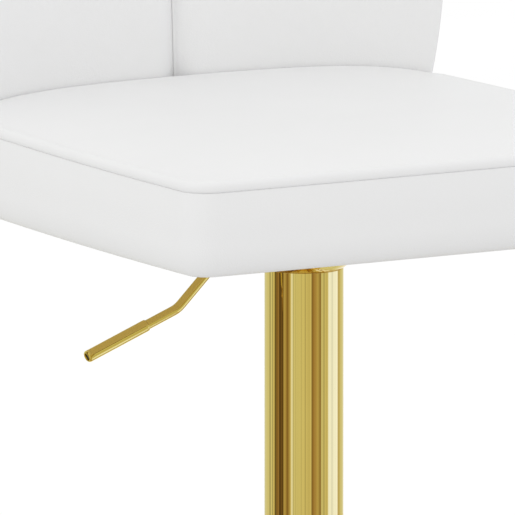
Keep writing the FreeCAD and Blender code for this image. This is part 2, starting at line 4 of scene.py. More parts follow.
import bpy
import numpy as np
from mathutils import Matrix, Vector


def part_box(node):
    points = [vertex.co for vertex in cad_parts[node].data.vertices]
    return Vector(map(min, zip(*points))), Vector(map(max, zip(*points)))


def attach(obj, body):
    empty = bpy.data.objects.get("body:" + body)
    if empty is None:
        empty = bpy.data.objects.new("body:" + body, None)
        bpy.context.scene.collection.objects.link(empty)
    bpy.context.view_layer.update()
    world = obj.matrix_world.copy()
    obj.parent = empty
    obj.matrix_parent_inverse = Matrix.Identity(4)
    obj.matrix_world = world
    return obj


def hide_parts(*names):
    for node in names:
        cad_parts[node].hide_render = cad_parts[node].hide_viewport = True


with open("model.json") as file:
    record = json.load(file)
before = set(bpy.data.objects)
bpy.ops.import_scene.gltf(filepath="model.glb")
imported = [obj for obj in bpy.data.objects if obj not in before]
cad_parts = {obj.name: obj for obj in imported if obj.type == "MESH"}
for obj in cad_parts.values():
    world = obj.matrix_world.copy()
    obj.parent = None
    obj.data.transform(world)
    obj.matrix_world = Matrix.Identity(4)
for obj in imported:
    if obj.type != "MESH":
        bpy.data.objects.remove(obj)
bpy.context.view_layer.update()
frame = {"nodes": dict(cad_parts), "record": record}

# A gas-lift bar stool in white faux leather and gold-plated steel. Units are metres, in the CAD frame:
# +Z up, the sitter faces -Y, the release lever is on the -X side.

MM = 0.001
X_WAY = Vector((1, 0, 0))
Y_WAY = Vector((0, 1, 0))
Z_WAY = Vector((0, 0, 1))

# ---------- places, from the frame

RIM_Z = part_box("column_sleeve")[1].z
SLEEVE_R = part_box("column_sleeve")[1].x
SLEEVE_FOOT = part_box("column_sleeve")[0].z
TUBE_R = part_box("column_tube")[1].x
SEAM_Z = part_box("seat_body")[1].z
SEAT_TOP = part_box("seat_cushion")[1].z
BACK_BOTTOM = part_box("back_pad_right")[0].z
BACK_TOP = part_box("back_pad_right")[1].z

# Plan of the seat: half widths at the front, the middle and the rear, joined by one arc each side
SEAT_FRONT_Y = -0.2235
SEAT_FRONT_BOW = 0.0017  # how far the front edge bows out between its corners
SEAT_HALF_FRONT = 0.2206
SEAT_HALF_MID = 0.2222
SEAT_MID_Y = -0.080
SEAT_HALF_REAR = 0.2095
SEAT_REAR_Y = 0.180
SEAT_CORNER = 0.022
SEAT_GAP = 0.0004  # from the seat to the face of the backrest

# The backrest: curved in plan round an upright axis, and leaning back on an arc from LEAN_Z up
BACK_R = 0.800
BACK_FACE_Y = 0.1894
BACK_AXIS_Y = BACK_FACE_Y - BACK_R
LEAN_Z = RIM_Z + 0.060
LEAN_R = 1.930
BACK_HALF_SEAT = 0.2115
BACK_HALF_WIDE = 0.2220
BACK_WIDE_Z = SEAT_TOP + 0.110
BACK_HALF_TOP = 0.2165
BACK_CORNER = 0.046
BACK_FOOT_CORNER = 0.024
BACK_ARCH = 0.007  # how much lower the top is at its corners
GROOVE_HALF = 0.0015


# ---------- mesh helpers


def make_object(name, points, faces, material, smooth=True):
    """A mesh object of one material, in the scene."""
    mesh = bpy.data.meshes.new(name)
    mesh.from_pydata([tuple(p) for p in points], [], faces)
    mesh.validate()
    for polygon in mesh.polygons:
        polygon.use_smooth = smooth
    piece = bpy.data.objects.new(name, mesh)
    bpy.context.scene.collection.objects.link(piece)
    mesh.materials.append(material)
    return piece


def loft(rings, closed=False):
    """Points and faces of a skin through rings that all have the same number of points.

    An open loft is capped at both ends by a fan to the ring's middle."""
    count = len(rings[0])
    points = [p for ring in rings for p in ring]
    faces = []
    joins = len(rings) if closed else len(rings) - 1
    for j in range(joins):
        a = j * count
        b = ((j + 1) % len(rings)) * count
        for i in range(count):
            k = (i + 1) % count
            faces.append((a + i, a + k, b + k, b + i))
    if not closed:
        for a, turn in ((0, -1), ((len(rings) - 1) * count, 1)):
            middle = len(points)
            points.append(np.mean(np.asarray(points[a:a + count], float), axis=0))
            for i in range(count):
                k = (i + 1) % count
                faces.append((middle, a + i, a + k)[::turn])
    return points, faces


def with_supports(profile):
    """The same closed profile with extra points close to both ends of its longer runs, for crisp edges."""
    near = 0.25 * MM
    fuller = []
    for a, b in zip(profile, profile[1:] + profile[:1]):
        fuller.append(a)
        length = math.dist(a, b)
        if length > 5 * near:
            for share in (near / length, 1 - near / length):
                fuller.append((a[0] + (b[0] - a[0]) * share, a[1] + (b[1] - a[1]) * share))
    return fuller


def circle(centre, across, up, radius, segments):
    """Points round a circle in the plane of two unit vectors."""
    turns = [2 * math.pi * i / segments for i in range(segments)]
    return [centre + across * (radius * math.cos(t)) + up * (radius * math.sin(t)) for t in turns]


def lathe(name, profile, material, segments=160):
    """A closed profile of (radius, z) turned about the column's axis."""
    rings = []
    for radius, z in with_supports(profile):
        rings.append(circle(Vector((0, 0, z)), X_WAY, Y_WAY, radius, segments))
    points, faces = loft(rings, closed=True)
    return make_object(name, points, faces, material)


def arc_points(centre, radius, start, end, count):
    """Points on a 2D arc; angles in degrees."""
    angles = np.radians(np.linspace(start, end, count))
    return [(centre[0] + radius * math.cos(t), centre[1] + radius * math.sin(t)) for t in angles]


def smooth_step(x, low, high):
    """0 below low, 1 above high, and eased between them."""
    t = np.clip((np.asarray(x, float) - low) / (high - low), 0, 1)
    return t * t * (3 - 2 * t)


def bent_path(points, bends, arc_steps, run_steps):
    """Straight runs joined by tangent arcs of the given radii, sampled as points with their headings."""
    points = [Vector(p) for p in points]
    places = []

    def run(a, b):
        heading = (b - a).normalized()
        for i in range(run_steps):
            places.append((a.lerp(b, i / run_steps), heading))

    start = points[0]
    for before, corner, after, radius in zip(points, points[1:], points[2:], bends):
        into = (corner - before).normalized()
        out = (after - corner).normalized()
        angle = into.angle(out)
        reach = radius * math.tan(angle / 2)
        first = corner - into * reach
        centre = corner + (out - into).normalized() * (radius / math.cos(angle / 2))
        spoke = first - centre
        axis = into.cross(out).normalized()
        run(start, first)
        for i in range(arc_steps):
            turn = angle * i / arc_steps
            across = axis.cross(spoke)
            point = centre + spoke * math.cos(turn) + across * math.sin(turn)
            heading = into * math.cos(turn) + axis.cross(into) * math.sin(turn)
            places.append((point, heading))
        start = corner + out * reach
    run(start, points[-1])
    places.append((points[-1], (points[-1] - start).normalized()))
    return places


def round_bar(name, places, radius, material, segments, ends=0.0):
    """A round bar along sampled places of a flat path; its ends are chamfered by `ends`."""
    first, last = places[0], places[-1]
    if ends:
        places = [first] + list(places) + [last]
    level = abs(first[1].z) < 1e-6 and abs(last[1].z) < 1e-6
    flat = Z_WAY if level else Y_WAY
    rings = []
    for i, (point, heading) in enumerate(places):
        at_end = ends and i in (0, len(places) - 1)
        size = radius - ends if at_end else radius
        shift = 0.0
        if ends and i == 1:
            shift = ends
        if ends and i == len(places) - 2:
            shift = -ends
        side = heading.cross(flat).normalized()
        rings.append(circle(point + heading * shift, side, flat, size, segments))
    points, faces = loft(rings)
    return make_object(name, points, faces, material)


# ---------- outlines in the plane


def circle_through(a, b, c):
    """Centre and radius of the circle through three points."""
    ax, ay = a
    bx, by = b
    cx, cy = c
    d = 2 * (ax * (by - cy) + bx * (cy - ay) + cx * (ay - by))
    ux = ((ax**2 + ay**2) * (by - cy) + (bx**2 + by**2) * (cy - ay) + (cx**2 + cy**2) * (ay - by)) / d
    uy = ((ax**2 + ay**2) * (cx - bx) + (bx**2 + by**2) * (ax - cx) + (cx**2 + cy**2) * (bx - ax)) / d
    return np.array([ux, uy]), math.hypot(ax - ux, ay - uy)


STEP = 6.0 * MM  # usual spacing of the points on an outline


def line(a, b):
    """Points along a straight edge."""
    return np.linspace(a, b, max(2, int(math.dist(a, b) / STEP)))


def arc_between(a, b, c, count):
    """An arc from a to c by way of b."""
    centre, radius = circle_through(a, b, c)
    start, middle, end = (math.atan2(p[1] - centre[1], p[0] - centre[0]) for p in (a, b, c))
    full = 2 * math.pi
    span = (end - start) % full
    if (middle - start) % full > span:
        span -= full
    turns = start + span * np.linspace(0, 1, count)
    return np.stack([centre[0] + radius * np.cos(turns), centre[1] + radius * np.sin(turns)], 1)


def left_normals(points):
    """Unit vectors to the left of the way along a polyline."""
    way = np.gradient(points, axis=0)
    way /= np.linalg.norm(way, axis=1)[:, None]
    return np.stack([-way[:, 1], way[:, 0]], 1)


def crossing(a, b):
    """Where two polylines cross."""
    for i in range(len(a) - 1):
        p, r = a[i], a[i + 1] - a[i]
        q = b[:-1]
        s = b[1:] - b[:-1]
        cross = r[0] * s[:, 1] - r[1] * s[:, 0]
        cross = np.where(abs(cross) < 1e-15, 1e-15, cross)
        gap = q - p
        t = (gap[:, 0] * s[:, 1] - gap[:, 1] * s[:, 0]) / cross
        u = (gap[:, 0] * r[1] - gap[:, 1] * r[0]) / cross
        hit = np.where((t >= 0) & (t <= 1) & (u >= 0) & (u <= 1))[0]
        if len(hit):
            return p + r * t[hit[0]]
    raise ValueError("the two edges don't meet")


def joined(edges, radii, arc_steps):
    """A closed outline of edges that run anticlockwise, with the corner after each edge rounded."""
    edges = [np.array(e, float) for e in edges]
    starts = [0] * len(edges)
    ends = [len(e) for e in edges]
    arcs = []
    for i, radius in enumerate(radii):
        a, b = edges[i], edges[(i + 1) % len(edges)]
        centre = crossing(a + left_normals(a) * radius, b + left_normals(b) * radius)
        near_a = int(np.argmin(np.linalg.norm(a - centre, axis=1)))
        near_b = int(np.argmin(np.linalg.norm(b - centre, axis=1)))
        out_a = -left_normals(a)[near_a]
        out_b = -left_normals(b)[near_b]
        start = math.atan2(out_a[1], out_a[0])
        span = (math.atan2(out_b[1], out_b[0]) - start) % (2 * math.pi)
        turns = start + span * np.linspace(0, 1, arc_steps)
        arcs.append(centre + radius * np.stack([np.cos(turns), np.sin(turns)], 1))
        ends[i] = int(np.sum(np.arange(len(a)) < near_a))
        starts[(i + 1) % len(edges)] = near_b + 1
    parts = []
    for i, edge in enumerate(edges):
        parts += [edge[starts[i]:ends[i]], arcs[i]]
    return without_doubles(np.concatenate(parts))


def without_doubles(points):
    """A closed outline without the points that all but coincide with the one before."""
    nearest = STEP / 50
    kept = [points[0]]
    for p in points[1:]:
        if np.linalg.norm(p - kept[-1]) > nearest:
            kept.append(p)
    if np.linalg.norm(kept[0] - kept[-1]) < nearest:
        kept.pop()
    return np.array(kept)


def outward_normals(outline):
    """Outward normals of a closed anticlockwise outline."""
    ahead = np.roll(outline, -1, 0) - outline
    behind = outline - np.roll(outline, 1, 0)
    ahead /= np.linalg.norm(ahead, axis=1)[:, None]
    behind /= np.linalg.norm(behind, axis=1)[:, None]
    way = ahead + behind
    way /= np.linalg.norm(way, axis=1)[:, None]
    return np.stack([way[:, 1], -way[:, 0]], 1)


# ---------- materials


def new_material(name):
    """A material with only a principled shader on its output, and its nodes and links."""
    material = bpy.data.materials.new(name)
    material.use_nodes = True
    nodes = material.node_tree.nodes
    nodes.clear()
    output = nodes.new("ShaderNodeOutputMaterial")
    shader = nodes.new("ShaderNodeBsdfPrincipled")
    material.node_tree.links.new(shader.outputs[0], output.inputs[0])
    return material, nodes, material.node_tree.links, shader


def object_coordinates(nodes, links, scale):
    """The piece's own coordinates, scaled along X, Y and Z."""
    coordinates = nodes.new("ShaderNodeTexCoord")
    mapping = nodes.new("ShaderNodeMapping")
    mapping.inputs["Scale"].default_value = scale
    links.new(coordinates.outputs["Object"], mapping.inputs["Vector"])
    return mapping.outputs["Vector"]


def noise(nodes, links, vector, scale, detail=3.0, roughness=0.5):
    texture = nodes.new("ShaderNodeTexNoise")
    texture.inputs["Scale"].default_value = scale
    texture.inputs["Detail"].default_value = detail
    texture.inputs["Roughness"].default_value = roughness
    links.new(vector, texture.inputs["Vector"])
    return texture.outputs["Fac"]


def between(nodes, links, factor, low, high):
    """A value or colour that follows a noise's usual range from low to high."""
    start, end = 0.3, 0.7
    if isinstance(low, tuple):
        ramp = nodes.new("ShaderNodeValToRGB")
        ramp.color_ramp.elements[0].position = start
        ramp.color_ramp.elements[1].position = end
        ramp.color_ramp.elements[0].color = (*low, 1)
        ramp.color_ramp.elements[1].color = (*high, 1)
        links.new(factor, ramp.inputs["Fac"])
        return ramp.outputs["Color"]
    mapping = nodes.new("ShaderNodeMapRange")
    mapping.inputs["From Min"].default_value = start
    mapping.inputs["From Max"].default_value = end
    mapping.inputs["To Min"].default_value = low
    mapping.inputs["To Max"].default_value = high
    links.new(factor, mapping.inputs["Value"])
    return mapping.outputs["Result"]


def bump(nodes, links, shader, height, distance, strength, under=None):
    """Relief from a height, over the relief `under`, on a shader or for the next relief."""
    node = nodes.new("ShaderNodeBump")
    node.inputs["Strength"].default_value = strength
    node.inputs["Distance"].default_value = distance
    links.new(height, node.inputs["Height"])
    if under is not None:
        links.new(under, node.inputs["Normal"])
    if shader is not None:
        links.new(node.outputs["Normal"], shader.inputs["Normal"])
    return node.outputs["Normal"]


def gold_material(name, pale, rich):
    """Polished gold plating: a mirror with a faint haze, slight swings in tone and a little waviness."""
    material, nodes, links, shader = new_material(name)
    shader.inputs["Metallic"].default_value = 1.0
    vector = object_coordinates(nodes, links, (1, 1, 1))
    tone = noise(nodes, links, vector, 9.0)
    links.new(between(nodes, links, tone, rich, pale), shader.inputs["Base Color"])
    haze = noise(nodes, links, vector, 60.0, 4.0)
    links.new(between(nodes, links, haze, 0.012, 0.035), shader.inputs["Roughness"])
    drawn = object_coordinates(nodes, links, (1, 1, 0.12))
    waves = noise(nodes, links, drawn, 45.0, 2.0)
    bump(nodes, links, shader, waves, 0.0003, 0.12)
    return material


def leather_material():
    """White coated fabric: fine pebble grain, satin, and slight random swings in tone."""
    material, nodes, links, shader = new_material("white_faux_leather")
    vector = object_coordinates(nodes, links, (1, 1, 1))
    tone = noise(nodes, links, vector, 14.0, 4.0)
    links.new(between(nodes, links, tone, (0.849,) * 3, (0.858,) * 3), shader.inputs["Base Color"])
    cells = nodes.new("ShaderNodeTexVoronoi")
    cells.inputs["Scale"].default_value = 900.0
    cells.feature = "SMOOTH_F1"
    links.new(vector, cells.inputs["Vector"])
    pores = noise(nodes, links, vector, 2600.0, 2.0)
    links.new(between(nodes, links, pores, 0.46, 0.58), shader.inputs["Roughness"])
    soft = noise(nodes, links, vector, 22.0, 2.0)
    wide = bump(nodes, links, None, soft, 0.0006, 0.35)
    grain = bump(nodes, links, None, cells.outputs["Distance"], 0.00012, 0.6, wide)
    bump(nodes, links, shader, pores, 0.00003, 0.4, grain)
    shader.inputs["Specular IOR Level"].default_value = 0.10
    return material


def metal_material(name, low, high, roughness, metallic, stretch=(1, 1, 1), scale=220.0):
    """Plated or drawn steel, with fine streaks along the way it was worked."""
    material, nodes, links, shader = new_material(name)
    shader.inputs["Metallic"].default_value = metallic
    vector = object_coordinates(nodes, links, stretch)
    streaks = noise(nodes, links, vector, scale, 4.0, 0.6)
    links.new(between(nodes, links, streaks, low, high), shader.inputs["Base Color"])
    links.new(between(nodes, links, streaks, roughness * 0.8, roughness * 1.25), shader.inputs["Roughness"])
    bump(nodes, links, shader, streaks, 0.00004, 0.4)
    return material


def matte_material(name, low, high, roughness, scale, depth):
    """Plastic, rubber or cloth: fine grain in colour, roughness and height."""
    material, nodes, links, shader = new_material(name)
    vector = object_coordinates(nodes, links, (1, 1, 1))
    grain = noise(nodes, links, vector, scale, 5.0, 0.6)
    links.new(between(nodes, links, grain, low, high), shader.inputs["Base Color"])
    links.new(between(nodes, links, grain, roughness - 0.08, roughness + 0.08), shader.inputs["Roughness"])
    bump(nodes, links, shader, grain, depth, 0.6)
    return material


def plywood_material():
    """Edge plies in alternate tones, with long grain along X."""
    material, nodes, links, shader = new_material("plywood")
    vector = object_coordinates(nodes, links, (0.25, 3.0, 3.0))
    grain = noise(nodes, links, vector, 60.0, 5.0, 0.6)
    tone = between(nodes, links, grain, (0.50, 0.33, 0.17), (0.72, 0.54, 0.33))
    links.new(tone, shader.inputs["Base Color"])
    links.new(between(nodes, links, grain, 0.55, 0.75), shader.inputs["Roughness"])
    bump(nodes, links, shader, grain, 0.0002, 0.5)
    return material


GOLD = gold_material("gold_plated_steel", (0.86, 0.67, 0.27), (0.83, 0.64, 0.25))
DEEP_GOLD = gold_material("gold_plated_lever", (0.82, 0.62, 0.18), (0.79, 0.59, 0.16))
LEATHER = leather_material()
ZINC = metal_material("zinc_steel", (0.44, 0.44, 0.42), (0.56, 0.55, 0.53), 0.42, 0.25)
BRIGHT = metal_material("bright_steel", (0.62, 0.62, 0.61), (0.74, 0.73, 0.72), 0.16, 0.6,
                        stretch=(1, 1, 0.05), scale=90.0)
PLASTIC = matte_material("black_plastic", (0.018, 0.018, 0.019), (0.032, 0.032, 0.034), 0.5, 900.0, 0.00005)
RED = matte_material("red_plastic", (0.46, 0.04, 0.03), (0.56, 0.06, 0.05), 0.42, 800.0, 0.00004)
RUBBER = matte_material("black_rubber", (0.022, 0.022, 0.022), (0.045, 0.045, 0.045), 0.8, 1400.0, 0.0001)
CLOTH = matte_material("pale_cloth", (0.74, 0.67, 0.52), (0.81, 0.74, 0.59), 0.9, 1600.0, 0.00012)
PLYWOOD = plywood_material()
MATERIALS = {
    "gold_plated_steel": GOLD,
    "white_faux_leather": LEATHER,
    "zinc_steel": ZINC,
    "bright_steel": BRIGHT,
    "black_plastic": PLASTIC,
    "red_plastic": RED,
    "black_rubber": RUBBER,
    "pale_cloth": CLOTH,
    "plywood": PLYWOOD,
}


def finish_cad_nodes():
    """Every CAD node that stays in view takes the procedural material of its slot."""
    for part in frame["record"]["subparts"]:
        node = frame["nodes"][part["node"]]
        node.data.materials.clear()
        node.data.materials.append(MATERIALS[part["material_slot"]])
        for polygon in node.data.polygons:
            polygon.material_index = 0


def place(piece, body, slot, *nodes):
    """Ride on a body, and stand for CAD nodes, which are hidden. The slot is not used."""
    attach(piece, body)
    if nodes:
        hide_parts(*nodes)


def upholster(name, points, faces, node):
    """A padded piece of the seat or back in faux leather, in place of its CAD node."""
    piece = make_object(name, points, faces, LEATHER)
    place(piece, "seat_carriage", "white_faux_leather", node)


# ---------- seat upholstery


def seat_outline():
    """The seat in plan, anticlockwise: bowed front and sides, and a rear that follows the back."""
    corner_y = SEAT_FRONT_Y + SEAT_FRONT_BOW
    rear_r = BACK_R - SEAT_GAP
    side_c, side_r = circle_through(
        (SEAT_HALF_FRONT, SEAT_FRONT_Y), (SEAT_HALF_MID, SEAT_MID_Y), (SEAT_HALF_REAR, SEAT_REAR_Y))

    def side(y, sign):
        return (sign * (side_c[0] + math.sqrt(side_r**2 - (y - side_c[1]) ** 2)), y)

    def rear(x):
        return (x, BACK_AXIS_Y + math.sqrt(rear_r**2 - x**2))

    past = 4.0 * MM  # each edge runs on past its corner, to be cut by the next
    half = SEAT_HALF_REAR + past
    side_y = np.linspace(corner_y, rear(half)[1] + past, 70)
    edges = [
        arc_between((-SEAT_HALF_FRONT, corner_y), (0, SEAT_FRONT_Y), (SEAT_HALF_FRONT, corner_y), 76),
        [side(y, 1) for y in side_y],
        [rear(x) for x in np.linspace(half, -half, 76)],
        [side(y, -1) for y in side_y[::-1]],
    ]
    return joined(edges, [SEAT_CORNER] * 4, 18)


SEAT_PLAN = seat_outline()
SEAT_NORMALS = outward_normals(SEAT_PLAN)
SEAT_CENTRE = np.array([0.0, -0.02])

ROLL_H = 8.1 * MM  # height of the rolled edge above the seam
CROWN = SEAT_TOP - SEAM_Z - ROLL_H


def half_width(y):
    """Half width of the seat at y, by interpolation on the right side of its plan."""
    right = SEAT_PLAN[SEAT_PLAN[:, 0] > 0.15]
    order = np.argsort(right[:, 1])
    return np.interp(y, right[order, 1], right[order, 0])


def crown(points):
    """How far the top panel has risen, from 0 at the rolled edge to 1 on the flat of the seat."""
    x, y = points[:, 0], points[:, 1]
    edge = 9.0 * MM
    clear_of_corners = np.clip(y, -0.19, 0.14)
    across = np.clip(abs(x) / (half_width(clear_of_corners) - edge), 0, 1)
    centre_y = -0.03
    forward = np.clip((centre_y - y) / (centre_y - SEAT_FRONT_Y - edge), 0, 1)
    return (1 - across**5) * (1 - forward**5)


def seat_rings(profile, rear_profile=None, crowned=False):
    """Rings round the seat's plan, one for each (inset, height above the column's rim) of a profile.

    Profiles are in millimetres. The rear profile takes over towards the backrest, and crowned rings
    rise with the seat's crown from the roll inwards."""
    rear_part = smooth_step(SEAT_PLAN[:, 1], 0.138, 0.160)
    roll = (104.5, 111.0)
    rings = []
    for i, (inset, z) in enumerate(profile):
        inset_here = np.full(len(SEAT_PLAN), inset)
        z_here = np.full(len(SEAT_PLAN), z)
        if rear_profile:
            inset_here = inset_here + (rear_profile[i][0] - inset) * rear_part
            z_here = z_here + (rear_profile[i][1] - z) * rear_part
        flat = SEAT_PLAN - SEAT_NORMALS * (inset_here * MM)[:, None]
        height = RIM_Z + z_here * MM
        if crowned:
            height = height + CROWN * crown(flat) * smooth_step(z_here, *roll)
        rings.append(np.column_stack([flat, height]))
    return rings


def shrinking(ring, steps, height=None):
    """Smaller copies of a ring about the seat's centre, level with it or at height(points)."""
    rings = []
    for k in steps:
        flat = SEAT_CENTRE + (ring[:, :2] - SEAT_CENTRE) * k
        rings.append(np.column_stack([flat, height(flat) if height else ring[:, 2]]))
    return rings


def make_seat_boxing():
    """The tall side band: a seam under the roll, full sides, and a turn under to the base."""
    bottom = 39.7
    side_top = 102.7
    bulge = 2.2
    turn_x, turn_z = 10.0, 23.0
    profile = [(14.0, 103.9), (6.0, 103.9), (3.0, 103.9), (1.4, 103.75), (0.7, 103.6), (0.3, 103.4)]
    profile.append((0.0, side_top))
    for k in np.linspace(0, 1, 12)[1:]:
        z = side_top + (bottom + turn_z - side_top) * k
        profile.append((-bulge * math.sin(math.pi / 2 * min(1, k * 1.5)), z))
    for t in np.radians(np.linspace(0, 90, 16)[1:]):
        profile.append((-bulge + turn_x * (1 - math.cos(t)), bottom + turn_z * (1 - math.sin(t))))
    profile += [(14.0, bottom - 0.05), (20.0, bottom), (22.5, 40.2), (23.2, 41.0), (23.4, 42.4)]
    rings = seat_rings(profile)
    lid = shrinking(rings[0], (0.45, 0.75, 0.95))
    floor = shrinking(rings[-1], (0.95, 0.6, 0.3))
    points, faces = loft(lid + rings + floor)
    upholster("seat_boxing", points, faces, "seat_body")


def make_seat_panel():
    """The top panel: a rolled self-welt round a crowned flat, tucked square against the backrest."""
    seam = 104.2
    crest = 111.8
    profile = [
        (8.0, seam - 0.2), (5.0, seam - 0.2), (3.2, seam - 0.25), (1.9, seam - 0.35), (1.1, seam - 0.5),
        (0.5, seam - 0.62), (-0.1, seam - 0.4), (-0.8, seam + 1.2), (-0.9, crest - 3.7), (0.0, crest - 1.6),
        (1.5, crest - 0.5), (3.0, crest - 0.1), (4.4, crest - 0.1), (5.4, crest - 0.3),
        (6.2, crest - 0.4), (7.2, crest - 0.3), (8.6, crest - 0.05), (10.5, crest),
    ]
    rear = [
        (8.0, seam - 0.2), (5.0, seam - 0.2), (3.2, seam - 0.2), (1.8, seam - 0.3), (0.8, seam - 0.2),
        (0.3, seam + 0.6), (0.1, seam + 2.2), (0.0, seam + 3.3), (0.0, seam + 4.5), (0.1, crest - 1.9),
        (0.4, crest - 0.9), (1.0, crest - 0.4), (1.8, crest - 0.2), (2.8, crest - 0.1),
        (4.0, crest - 0.05), (5.6, crest), (7.6, crest), (10.5, crest),
    ]
    rings = seat_rings(profile, rear, crowned=True)

    def height(flat):
        return RIM_Z + crest * MM + CROWN * crown(flat)

    steps = [0.985, 0.965, 0.94, 0.91, 0.875, 0.835, 0.79, 0.74, 0.68, 0.61, 0.53, 0.44, 0.34, 0.23, 0.11]
    base = shrinking(rings[0], (0.3, 0.7, 0.95))
    points, faces = loft(base + rings + shrinking(rings[-1], steps, height))
    upholster("seat_panel", points, faces, "seat_cushion")


# ---------- backrest upholstery


def back_side(z):
    """Half width of the backrest at z."""
    rise = BACK_WIDE_Z - SEAT_TOP
    spread = BACK_HALF_WIDE - BACK_HALF_SEAT
    radius = (rise**2 + spread**2) / (2 * spread)
    if z < BACK_WIDE_Z:
        return BACK_HALF_WIDE - radius + math.sqrt(radius**2 - (z - BACK_WIDE_Z) ** 2)
    share = (z - BACK_WIDE_Z) / (BACK_TOP - BACK_ARCH - BACK_WIDE_Z)
    return BACK_HALF_WIDE + (BACK_HALF_TOP - BACK_HALF_WIDE) * share


def back_surface(flat, depth):
    """Places on the backrest: flat holds (x, z) seen from the front, depth is measured behind its face."""
    x, z = flat[:, 0], flat[:, 1]
    lean = np.maximum(z - LEAN_Z, 0)
    reach = BACK_FACE_Y + LEAN_R - np.sqrt((LEAN_R - depth) ** 2 - lean**2) - BACK_AXIS_Y
    y = BACK_AXIS_Y + np.sqrt(reach**2 - x**2)
    return np.column_stack([x, y, z])


def back_top_z(x):
    """Height of the backrest's arched top at x."""
    return BACK_TOP - BACK_ARCH * (x / BACK_HALF_TOP) ** 2


PAST_CORNER = 3.0 * MM  # each edge of the backrest runs on past its corner, to be cut by the next
BACK_FOOT = back_side(BACK_BOTTOM) + PAST_CORNER
BACK_HEAD = BACK_HALF_TOP + PAST_CORNER
BACK_HEIGHTS = np.linspace(BACK_BOTTOM, BACK_TOP, 90)


def pad_outline():
    """The right half of the backrest, anticlockwise as seen from the front."""
    edges = [
        line((GROOVE_HALF, BACK_BOTTOM), (BACK_FOOT, BACK_BOTTOM)),
        [(back_side(z), z) for z in BACK_HEIGHTS],
        [(x, back_top_z(x)) for x in np.linspace(BACK_HEAD, GROOVE_HALF, 44)],
        line((GROOVE_HALF, BACK_TOP), (GROOVE_HALF, BACK_BOTTOM)),
    ]
    groove_corner = 7.0 * MM
    return joined(edges, [BACK_FOOT_CORNER, BACK_CORNER, groove_corner, groove_corner], 14)


def rear_outline():
    """The whole backrest, anticlockwise as seen from the front."""
    edges = [
        line((-BACK_FOOT, BACK_BOTTOM), (BACK_FOOT, BACK_BOTTOM)),
        [(back_side(z), z) for z in BACK_HEIGHTS],
        [(x, back_top_z(x)) for x in np.linspace(BACK_HEAD, -BACK_HEAD, 88)],
        [(-back_side(z), z) for z in BACK_HEIGHTS[::-1]],
    ]
    return joined(edges, [BACK_FOOT_CORNER, BACK_CORNER, BACK_CORNER, BACK_FOOT_CORNER], 16)


def offset_rings(outline, profile, other=None, share=None):
    """(flat, depth) rings for a profile of (inset, depth) in millimetres.

    share, from 0 to 1 at each point of the outline, turns the profile into the other one."""
    normals = outward_normals(outline)
    rings = []
    for i, (inset, depth) in enumerate(profile):
        inset_here = np.full(len(outline), float(inset))
        depth_here = np.full(len(outline), float(depth))
        if other:
            inset_here += (other[i][0] - inset) * share
            depth_here += (other[i][1] - depth) * share
        rings.append((outline - normals * (inset_here * MM)[:, None], depth_here * MM))
    return rings


